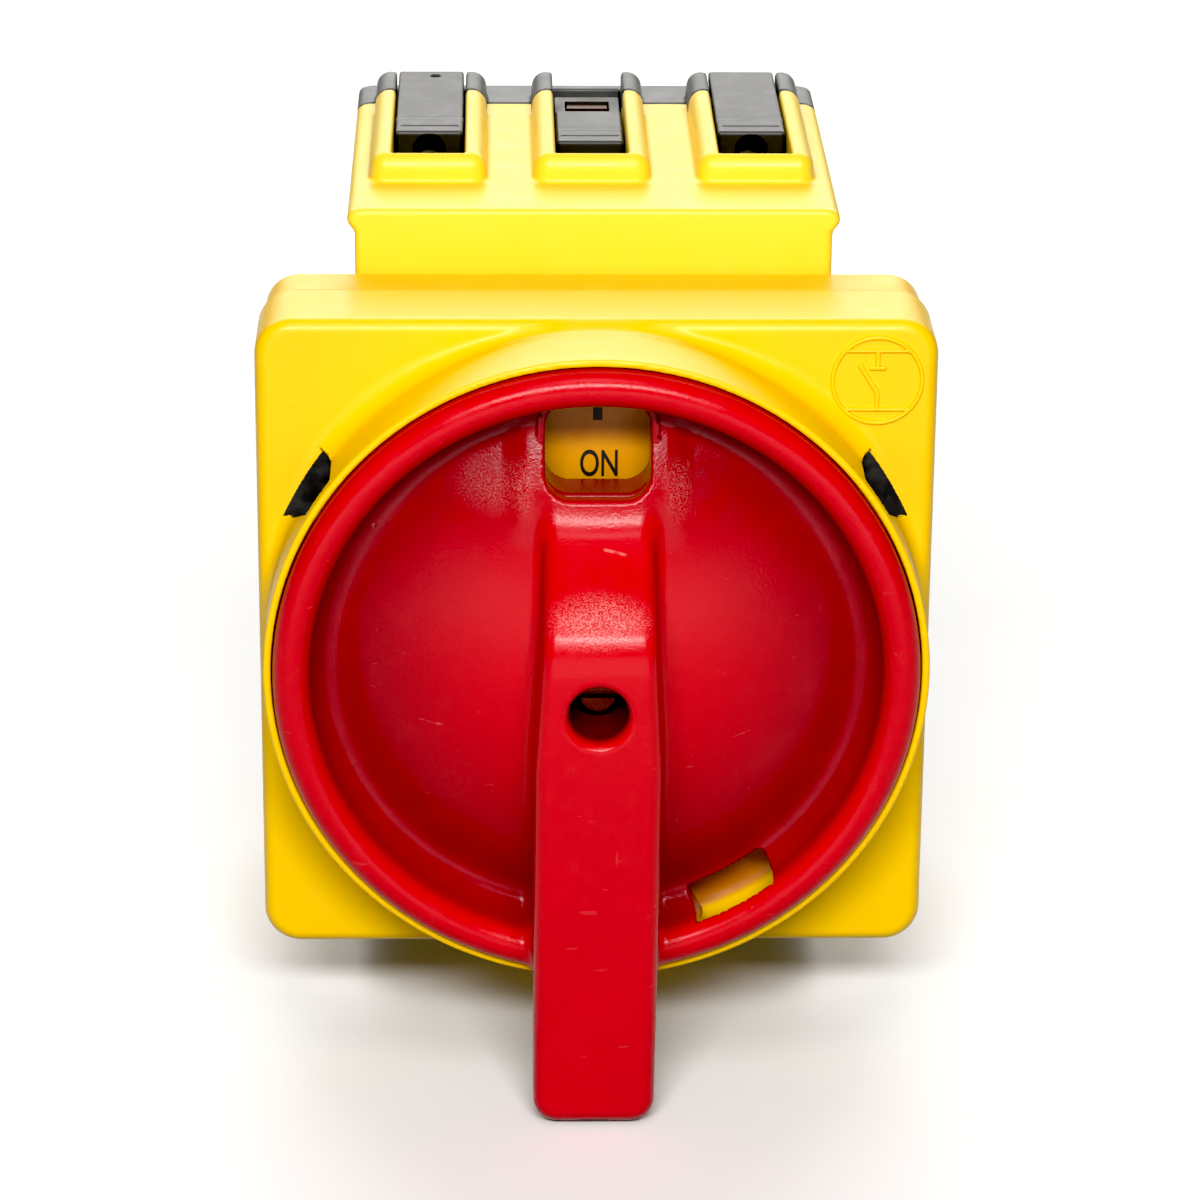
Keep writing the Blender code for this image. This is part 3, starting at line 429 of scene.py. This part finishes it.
def mesh_field(f, lo, hi, step):
    """Meshes f = 0 with one vertex in each cell that the surface crosses, then moves the vertices onto the surface."""
    axes = [np.arange(lo[k] - 0.013, hi[k] + step, step) for k in range(3)]
    nx, ny, nz = (len(a) for a in axes)
    value = np.empty((nx, ny, nz), np.float32)
    ygrid, zgrid = np.meshgrid(axes[1].astype(np.float32), axes[2].astype(np.float32), indexing="ij")
    block = max(1, 400000 // (ny * nz))
    for i in range(0, nx, block):
        x = axes[0][i : i + block].astype(np.float32)[:, None, None]
        shape = (x.shape[0], ny, nz)
        value[i : i + block] = f(
            np.broadcast_to(x, shape), np.broadcast_to(ygrid, shape), np.broadcast_to(zgrid, shape)
        )
    inside = value < 0
    crossings = []
    for k in range(3):
        a = [slice(None)] * 3
        b = [slice(None)] * 3
        a[k], b[k] = slice(0, -1), slice(1, None)
        idx = np.argwhere(inside[tuple(a)] != inside[tuple(b)])
        nxt = idx.copy()
        nxt[:, k] += 1
        va, vb = value[tuple(idx.T)], value[tuple(nxt.T)]
        crossings.append((idx, va / (va - vb), va < 0))
    cell_id = np.full((nx, ny, nz), -1, np.int64)
    flat_cells, points = [], []
    quads_cells = []
    for k, (idx, t, solid) in enumerate(crossings):
        u, v = (k + 1) % 3, (k + 2) % 3
        p = idx.astype(np.float64)
        p[:, k] += t
        four = []
        for du, dv in ((0, 0), (-1, 0), (-1, -1), (0, -1)):
            c = idx.copy()
            c[:, u] += du
            c[:, v] += dv
            four.append(c)
            flat_cells.append(c)
            points.append(p)
        quads_cells.append((four, solid))
    cells, points = np.concatenate(flat_cells), np.concatenate(points)
    key = (cells[:, 0] * ny + cells[:, 1]) * nz + cells[:, 2]
    uniq, back = np.unique(key, return_inverse=True)
    count = np.bincount(back)
    grid = np.stack([np.bincount(back, points[:, k]) / count for k in range(3)], 1)
    verts = np.stack([axes[k][0] + grid[:, k] * step for k in range(3)], 1)
    quads = []
    for four, solid in quads_cells:
        q = np.stack([np.searchsorted(uniq, (c[:, 0] * ny + c[:, 1]) * nz + c[:, 2]) for c in four], 1)
        quads.append(np.where(solid[:, None], q, q[:, ::-1]))
    quads = np.concatenate(quads)
    return settle(f, verts, step, 4), quads


def gradient(f, v, e=0.02):
    x, y, z = v.T
    return np.stack(
        [
            f(x + e, y, z) - f(x - e, y, z),
            f(x, y + e, z) - f(x, y - e, z),
            f(x, y, z + e) - f(x, y, z - e),
        ],
        1,
    ) / (2 * e)


def settle(f, v, step, rounds):
    for _ in range(rounds):
        g = gradient(f, v)
        size = np.maximum((g * g).sum(1), 0.15)
        move = -(f(*v.T) / size)[:, None] * g
        length = np.maximum(np.linalg.norm(move, axis=1), 1e-9)
        v = v + move * np.minimum(1.0, 0.6 * step / length)[:, None]
    return v


def build(name, f, lo, hi, step, target, mat, body, replaces=(), shift=(0, 0, 0)):
    """Meshes a field, thins the mesh where it is flat, and gives it the field's own normals."""
    verts, quads = mesh_field(f, lo, hi, step)
    me = bpy.data.meshes.new(name)
    me.vertices.add(len(verts))
    me.vertices.foreach_set("co", verts.astype(np.float32).ravel())
    me.loops.add(quads.size)
    me.loops.foreach_set("vertex_index", quads.astype(np.int32).ravel())
    me.polygons.add(len(quads))
    me.polygons.foreach_set("loop_start", np.arange(0, quads.size, 4, dtype=np.int32))
    me.update(calc_edges=True)
    me.validate()
    ob = bpy.data.objects.new(name, me)
    scene.collection.objects.link(ob)
    tris = 2 * len(quads)
    if tris > target:
        mod = ob.modifiers.new("thin", "DECIMATE")
        mod.ratio = target / tris
        view = bpy.context.evaluated_depsgraph_get()
        view.update()
        thin = bpy.data.meshes.new_from_object(ob.evaluated_get(view))
        ob.modifiers.clear()
        ob.data = thin
        bpy.data.meshes.remove(me)
        me = thin
        me.name = name
    v = np.empty(len(me.vertices) * 3)
    me.vertices.foreach_get("co", v)
    v = settle(f, v.reshape(-1, 3), step * 0.3, 1)
    n = gradient(f, v, 0.06)
    n /= np.maximum(np.linalg.norm(n, axis=1), 1e-9)[:, None]
    v = (v + np.array(shift) + (0, -ROW_Y, ROW_Z)) / 1000.0
    me.vertices.foreach_set("co", v.astype(np.float32).ravel())
    me.polygons.foreach_set("use_smooth", np.ones(len(me.polygons), bool))
    me.update()
    me.normals_split_custom_set_from_vertices(n.tolist())
    me.materials.clear()
    me.materials.append(mat)
    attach(ob, body)
    if replaces:
        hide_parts(*replaces)
    print("built", name, tris, "->", sum(len(p.vertices) - 2 for p in me.polygons))
    return ob


# ------------------------------------------------------------------ the rotary handle
RAMP = np.array(
    [
        (-70, 27.0), (2, 27.0), (6.0, 26.92), (8.6, 26.5), (10.8, 25.6), (12.8, 23.9),
        (14.8, 21.3), (17.0, 18.2), (19.4, 15.0), (21.6, 12.5), (23.6, 10.8), (26.0, 9.2), (30, 7.0), (70, 7.0),
    ]
)
fine_z = np.arange(-62, 45, 0.1)
fine_h = np.interp(fine_z, RAMP[:, 0], RAMP[:, 1])
kernel = np.hanning(33)
kernel /= kernel.sum()
fine_h = np.convolve(np.pad(fine_h, 16, mode="edge"), kernel, mode="valid")
fine_s = np.gradient(fine_h, 0.1)
TIP = -58.9
bowl_r = np.arange(-60, 60, 0.1)
bowl_h = 15.2 - 8.3 * np.minimum(np.abs(bowl_r) / 34.6, 1.0) ** 2
bowl_h = np.convolve(bowl_h, np.hanning(57) / np.hanning(57).sum(), mode="same")
bowl_r, bowl_h = bowl_r[200:-100], bowl_h[200:-100]
bowl_s = np.gradient(bowl_h, 0.1)


def dome(r):
    return np.interp(r, bowl_r, bowl_h), np.interp(r, bowl_r, bowl_s)


def handle_field(x, y, z):
    h = -y
    r = np.hypot(x, z)
    t, dt = dome(r)
    # soft raised flanks beside the window
    near = np.clip((12.6 - np.abs(x)) / 3.6, 0, 1)
    above = np.clip((z - 17.0) / 9.0, 0, 1)
    t = t + 1.0 * near * near * (3 - 2 * near) * above * above * (3 - 2 * above)
    top = (h - t) / np.sqrt(1 + dt * dt)
    d = both(np.maximum(top, -top - 2.0), r - 38.6, 0.3)
    rim = both(np.abs(r - 40.25) - 2.45, h - 15.3, 2.4)
    rim = both(rim, 10.2 - h, 0.4)
    web = np.maximum(np.abs(r - 38.65) - 0.85, slab(h, 5.6, 12.0))
    d = join(d, np.minimum(rim, web), 3.6)
    # lever
    hz = np.interp(z, fine_z, fine_h)
    sz = np.interp(z, fine_z, fine_s)
    crest = (h - hz) / np.sqrt(1 + sz * sz)
    w = np.interp(z, (-58, -8, 10, 25), (8.05, 8.4, 7.4, 7.1))
    lean = 0.006 * (z + 10)
    lever = both(np.abs(x - lean) - w, TIP - z, 3.2)
    lever = both(lever, crest, 1.9)
    low = np.where(r < 38.4, t - 1.9, np.where(r < 42.3, 10.4, 15.3))
    lever = both(lever, low - h, 0.4)
    lever = np.maximum(lever, z - 30.0)
    d = join(d, lever, 1.7)
    # hub
    d = np.minimum(d, np.maximum(r - 7.0, slab(h, -6.0, 14.0)))
    # window and its skirt
    hole = box2(x, z - 30.5, 6.9, 6.3, 3.4)
    skirt = np.maximum(np.maximum(box2(x, z - 30.5, 8.0, 7.4, 4.5), slab(h, 2.6, 9.0)), r - 39.4)
    d = np.minimum(d, skirt)
    d = less(d, hole, 0.45)
    # padlock window
    ang = np.arctan2(z, x) + math.radians(60.0)
    lock = np.maximum(box2(ang * r, r - 37.9, 5.9, 2.5, 0.9), h - 13.4)
    d = less(d, lock, 0.35)
    # screw access hole, socket, and a gate mark at the tip
    d = less(d, np.maximum(r - 3.55 - 0.012 * np.clip(h - 20, 0, 7) ** 2, 16.2 - h), 0.9)
    d = np.maximum(d, -np.maximum(r - 1.8, slab(h, 12.0, 17.0)))
    d = np.maximum(d, -np.maximum(box2(x, z, 3.25, 3.25, 0.1), h - 12.8))
    d = less(d, np.maximum(np.maximum(np.abs(x + 0.4) - 1.9, slab(h, 10, 25.9)), z - TIP - 0.9), 0.15)
    return d


# ------------------------------------------------------------------ front plate
def plate_field(x, y, z):
    h = -y
    r = np.hypot(x, z)
    d = both(box2(x, z, 44.985, 44.985, 5.0), h, 1.7)
    d = both(d, y - 14.0, 0.55)
    d = np.maximum(d, -np.maximum(box2(x, z, 42.8, 42.8, 3.0), 3.0 - y))
    d = np.minimum(d, np.maximum(r - 10.6, slab(y, 2.5, 9.0)))
    ring = both(np.abs(r - 43.44) - 0.52, h - 12.8, 0.35)
    ring = np.maximum(ring, -h - 1.0)
    a = np.arctan2(np.abs(z), np.abs(x))
    low = np.radians(23.7 + 6.3 * np.clip((h - 0.25) / 10.25, 0, 1))
    slot = np.maximum(np.maximum((a - math.radians(37.0)) * r, (low - a) * r * 0.9), slab(h, 0.25, 10.5))
    margin = np.clip((45.0 - np.maximum(np.abs(x), np.abs(z))) / 7.0, 0, 1)
    d = join(d, ring, 1.1 + 1.9 * margin)
    d = less(d, np.maximum(slot, 38.0 - r), 0.15)
    d = less(d, np.maximum(r - 7.4, y - 12), 0.3)
    d = np.maximum(d, -np.maximum(r - 10.2, slab(h, -2.4, 5.0)))
    for sx in (-24.0, 24.0):
        for sz in (-24.0, 24.0):
            d = less(d, np.hypot(x - sx, z - sz) - 2.4, 0.25)
    return d


def frame_field(x, y, z):
    d = both(box2(x, z, 44.3, 44.3, 4.6), 14.3 - y, 0.9)
    d = both(d, y - 23.2, 0.8)
    d = np.maximum(d, -np.maximum(box2(x, z, 42.1, 42.1, 3.0), y - 20.6))
    d = np.maximum(d, -np.maximum(box2(x, z, 31.0, 31.0, 2.0), 22.1 - y))
    d = less(d, np.hypot(x, z) - 12.0, 0.3)
    for sx in (-24.0, 24.0):
        for sz in (-24.0, 24.0):
            d = less(d, np.hypot(x - sx, z - sz) - 2.4, 0.25)
    return d


# ------------------------------------------------------------------ switch body
def body_outline(x, z):
    """The shells' section: a neck with a rounded lip along its top and bottom."""
    q = np.abs(z + SIDE) - SIDE
    neck = box2(x, z + SIDE, 32.3, 53.9, 1.2)
    lip = box2(x, q - 51.55, 33.3, 1.25, 1.15)
    return join(neck, lip, 0.9)


def boss_section(x, z):
    """Distance to the nearest terminal boss, its window, and the height above the axis."""
    q = np.abs(z + SIDE) - SIDE
    bx = np.abs(x - 22.5 * np.clip(np.round(x / 22.5), -1, 1))
    half = 8.1 - 0.07 * np.clip(q - 52.8, 0, 5)
    return both(bx - half, q - 57.0, 1.9), np.maximum(bx - 5.0, 47.0 - q), q


def cover_field(x, y, z):
    d = both(body_outline(x, z), 23.5 - y, 0.9)
    d = both(d, y - 76.5, 0.2)
    d = np.maximum(d, -np.maximum(box2(x, z + SIDE, 29.9, 51.5, 1.0), 26.0 - y))
    boss, hole, q = boss_section(x, z)
    boss = both(boss, 36.0 - y, 2.2)
    boss = both(boss, y - 69.8, 0.2)
    boss = np.maximum(boss, 51.5 - q)
    d = join(d, boss, 0.8)
    d = less(d, np.maximum(hole, 38.0 - y), 0.6)
    d = less(d, np.hypot(x, z) - 13.0 + np.maximum(y - 30, 0), 0.3)
    for sx in (-24.0, 24.0):
        for sz in (-24.0, 24.0):
            d = less(d, np.maximum(np.hypot(x - sx, z - sz) - 2.4, y - 30), 0.25)
    return d


def base_field(x, y, z):
    d = both(body_outline(x, z), y - 87.0, 0.9)
    d = both(d, 76.8 - y, 0.2)
    d = np.maximum(d, -np.maximum(box2(x, z + SIDE, 29.9, 51.5, 1.0), y - 82.0))
    boss, hole, q = boss_section(x, z)
    boss = both(boss, y - 80.9, 1.8)
    rear = np.maximum(np.maximum(boss, 76.8 - y), 51.5 - q)
    fore = np.maximum(both(boss, 70.1 - y, 0.2), 53.1 - q)
    fore = np.maximum(fore, y - 78.0)
    d = join(d, rear, 0.6)
    d = np.minimum(d, fore)
    d = less(d, np.maximum(hole, slab(y, 60.0, 84.3)), 0.45)
    for sx in (-11.0, 11.0):
        for sz in (-26.5, 26.5):
            rr = np.hypot(x - sx, z - sz)
            d = less(d, np.minimum(rr - 1.8, np.maximum(rr - 3.3, 84.8 - y)), 0.2)
    return d


def shield_field(y0, y1, top, roof, hole_top, dimple=False):
    def f(x, y, z):
        block = both(box2(x, z - (47.3 + top) / 2, 4.7, (top - 47.3) / 2, 0.45), slab(y, y0, 56.5), 0.45)
        cap = both(box2(x, z - top + roof / 2, 4.7, roof / 2, 0.4), slab(y, 54.5, y1), 0.5)
        d = join(block, cap, 0.3)
        zc = np.clip(z, 49.6, hole_top - 2.1)
        d = less(d, np.maximum(np.hypot(x, z - zc) - 2.1, y - 57.5), 0.25)
        # a shallow step across the cap and a moulded grip near its rear end
        d = np.maximum(d, -np.maximum(slab(y, y0 + 2.6, y0 + 3.0), np.maximum(np.abs(x) - 4.0, top - 0.18 - z)))
        if dimple:
            d = less(d, np.maximum(np.hypot(x - 0.6, y - 78.2) - 0.7, top - 0.6 - z), 0.15)
        return d

    return f


def flipped(f):
    return lambda x, y, z: f(x, y, -z - 2 * SIDE)


# ------------------------------------------------------------------ emblem
def segment(x, z, ax, az, bx, bz):
    dx, dz = bx - ax, bz - az
    t = np.clip(((x - ax) * dx + (z - az) * dz) / (dx * dx + dz * dz), 0, 1)
    return np.hypot(x - ax - t * dx, z - az - t * dz)


def emblem_field(x, y, z):
    """A thin raised ring round the sign for a switch: two terminals and an open blade."""
    u, v = x - 36.9, z - 36.9
    d = np.abs(np.hypot(u, v) - 5.9) - 0.26
    d = np.minimum(d, segment(u, v, 0.0, 4.0, 0.0, 1.7) - 0.3)
    d = np.minimum(d, segment(u, v, 0.0, -4.0, 0.0, -1.7) - 0.3)
    d = np.minimum(d, segment(u, v, 0.0, -1.7, -2.2, 1.9) - 0.3)
    d = np.minimum(d, segment(u, v, -0.9, 1.7, 0.9, 1.7) - 0.26)
    d = np.minimum(d, segment(u, v, -4.2, -4.05, 4.2, -4.05) - 0.2)
    d = np.minimum(d, segment(u, v, -4.2, 4.05, 4.2, 4.05) - 0.2)
    return both(d, slab(-y, -0.35, 0.4), 0.16)


build("handle_shell", handle_field, (-43.4, -27.6, -59.6), (43.4, 6.6, 43.4), 0.5, 120000, RED, "handle", ("rotary_handle",))
build("plate_shell", plate_field, (-45.6, -13.4, -45.6), (45.6, 14.6, 45.6), 0.42, 120000, YELLOW, "root", ("front_plate",))
build("frame_shell", frame_field, (-45.0, 13.7, -45.0), (45.0, 23.8, 45.0), 0.6, 40000, YELLOW, "root", ("rear_frame",))
build("cover_shell", cover_field, (-34.0, 22.9, -59.9), (34.0, 77.1, 57.7), 0.55, 90000, YELLOW_COVER, "root", ("terminal_cover",))
build("base_shell", base_field, (-34.0, 69.4, -59.9), (34.0, 87.6, 57.7), 0.5, 60000, GRAY, "root", ("switch_base",))
outer = shield_field(49.0, 80.9, 56.7, 1.9, 56.1)
dimpled = shield_field(49.0, 80.9, 56.7, 1.9, 56.1, True)
middle = shield_field(49.3, 65.1, 55.2, 1.4, 52.4)
for tag, x0 in POLES.items():
    f = {"l": dimpled, "m": middle, "r": outer}[tag]
    build("shield_top_" + tag, f, (-5.2, 48.4, 46.8), (5.2, 81.4, 57.2), 0.25, 16000, GRAY_DARK, "root", ("terminal_shield_top_" + tag,), (x0, 0, 0))
    build("shield_bottom_" + tag, flipped(outer), (-5.2, 48.4, -59.4), (5.2, 81.4, -49.0), 0.3, 10000, GRAY_DARK, "root", ("terminal_shield_bottom_" + tag,), (x0, 0, 0))
def black_strip_field(x, y, z):
    """A thin black strip on the plate's face inside the collar, behind each pair of padlock slots."""
    r = np.hypot(x, z)
    a = np.abs(np.arctan2(z, np.abs(x)))
    d = np.maximum(np.abs(r - 39.3) - 2.8, np.abs(a - math.radians(30.0)) * r - 11.5)
    mouth = np.maximum(slab(r, 40.0, 45.2), slab(a, math.radians(23.4), math.radians(37.3)) * r)
    return both(np.minimum(d, mouth), slab(-y, -0.4, 0.34), 0.1)


for name, sx in (("slot_strip_r", 1), ("slot_strip_l", -1)):
    lo, hi = sorted((sx * 27.0, sx * 45.0))
    build(name, black_strip_field, (lo, -0.9, -36.0), (hi, 0.9, 36.0), 0.3, 12000, RUBBER, "root")
build("plate_emblem", emblem_field, (30.0, -0.6, 30.0), (43.8, 0.8, 43.8), 0.14, 16000, YELLOW, "root")


# ------------------------------------------------------------------ screws at the back, contact springs
def screw_field(cx, cz, radius, y0, y1, turn):
    c, s = math.cos(turn), math.sin(turn)

    def f(x, y, z):
        u, v = (x - cx) * c + (z - cz) * s, (z - cz) * c - (x - cx) * s
        r = np.hypot(u, v)
        head = both(r - radius, y - y1 + 0.075 * r * r, 0.3)
        head = np.maximum(head, y1 - 1.75 - y)
        d = np.minimum(head, np.maximum(r - 1.42, slab(y, y0, y1 - 1.0)))
        cross = np.minimum(box2(u, v, 1.75, 0.36, 0.1), box2(u, v, 0.36, 1.75, 0.1))
        return less(d, np.maximum(cross, y1 - 1.15 + 0.25 * r - y), 0.08)

    return f


for k in (1, 2, 3, 4):
    cad = frame["nodes"]["housing_screw_%d" % k]
    pts = np.array([cad.matrix_world @ v.co for v in cad.data.vertices]) * 1000.0 + (0, ROW_Y, -ROW_Z)
    lo, hi = pts.min(0), pts.max(0)
    mid, radius = (lo + hi) / 2, (hi[0] - lo[0]) / 2 - 0.03
    build("tie_screw_%d" % k, screw_field(mid[0], mid[2], radius, lo[1] + 0.05, hi[1] - 0.01, 0.5 * k), (mid[0] - 3.4, lo[1] - 0.3, mid[2] - 3.4), (mid[0] + 3.4, hi[1] + 0.4, mid[2] + 3.4), 0.2, 9000, STEEL, "root", ("housing_screw_%d" % k,))

for tag, x0 in POLES.items():
    cad = frame["nodes"]["contact_spring_" + tag]
    me = cad.data.copy()
    me.transform(cad.matrix_world)
    me.materials.clear()
    me.materials.append(SPRING)
    ob = bpy.data.objects.new("wipe_spring_" + tag, me)
    scene.collection.objects.link(ob)
    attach(ob, "carrier")
    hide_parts("contact_spring_" + tag)
    row(x0, 60.3, 0)
    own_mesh(ob)


# ------------------------------------------------------------------ printed words
def ink_text(name, body, centre_x, low_z, width, height, stroke_gain=0.0):
    """Thin printed letters on the plate's face, fitted to a width and a height in mm."""
    cu = bpy.data.curves.new(name, "FONT")
    cu.body = body
    cu.extrude = 0.01
    cu.offset = stroke_gain
    cu.resolution_u = 6
    tmp = bpy.data.objects.new(name + "_curve", cu)
    scene.collection.objects.link(tmp)
    view = bpy.context.evaluated_depsgraph_get()
    view.update()
    me = bpy.data.meshes.new_from_object(tmp.evaluated_get(view))
    bpy.data.objects.remove(tmp, do_unlink=True)
    me.name = name
    v = np.empty(len(me.vertices) * 3)
    me.vertices.foreach_get("co", v)
    v = v.reshape(-1, 3)
    lo, hi = v.min(0), v.max(0)
    x = (v[:, 0] - (lo[0] + hi[0]) / 2) / (hi[0] - lo[0]) * width + centre_x
    z = (v[:, 1] - lo[1]) / (hi[1] - lo[1]) * height + low_z
    y = np.where(v[:, 2] > 0, -0.035, 0.05)
    v = (np.stack([x, y, z], 1) + (0, -ROW_Y, ROW_Z)) / 1000.0
    me.vertices.foreach_set("co", v.astype(np.float32).ravel())
    me.update()
    me.materials.clear()
    me.materials.append(INK)
    ob = bpy.data.objects.new(name, me)
    scene.collection.objects.link(ob)
    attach(ob, "root")
    return ob


def ink_bar(name, x, z, w, h):
    f = lambda px, py, pz: both(box2(px - x, pz - z, w / 2, h / 2, 0.12), slab(py, -0.035, 0.06), 0.02)
    return build(name, f, (x - w / 2 - 0.2, -0.1, z - h / 2 - 0.2), (x + w / 2 + 0.2, 0.12, z + h / 2 + 0.2), 0.05, 1500, INK, "root")


ink_text("mark_on", "ON", 0.35, 23.4, 5.0, 3.8, 0.014)
ink_text("mark_off", "OFF", -30.2, -1.9, 5.8, 3.8, 0.014)
ink_bar("tick_on", 0.15, 32.2, 1.25, 1.8)
ink_bar("tick_off", -35.1, 0.0, 1.4, 1.25)

# ------------------------------------------------------------------ floor
def floor():
    me = bpy.data.meshes.new("floor")
    s = 6.0
    me.from_pydata([(-s, -s, 0), (s, -s, 0), (s, s, 0), (-s, s, 0)], [], [(0, 1, 2, 3)])
    ob = bpy.data.objects.new("floor", me)
    ob.location = (0, 0, -0.0002)
    scene.collection.objects.link(ob)
    g = Graph("floor_paper")
    g.put(g.bsdf.inputs["Base Color"], g.mix(g.noise(9.0, 2.0), (0.93, 0.93, 0.93), (0.95, 0.95, 0.95)))
    g.put(g.bsdf.inputs["Roughness"], g.fit(g.noise(60.0, 2.0), 0.3, 0.7, 0.75, 0.85))
    g.bsdf.inputs["Specular IOR Level"].default_value = 0.25
    me.materials.append(g.mat)
    ob.visible_diffuse = False


floor()
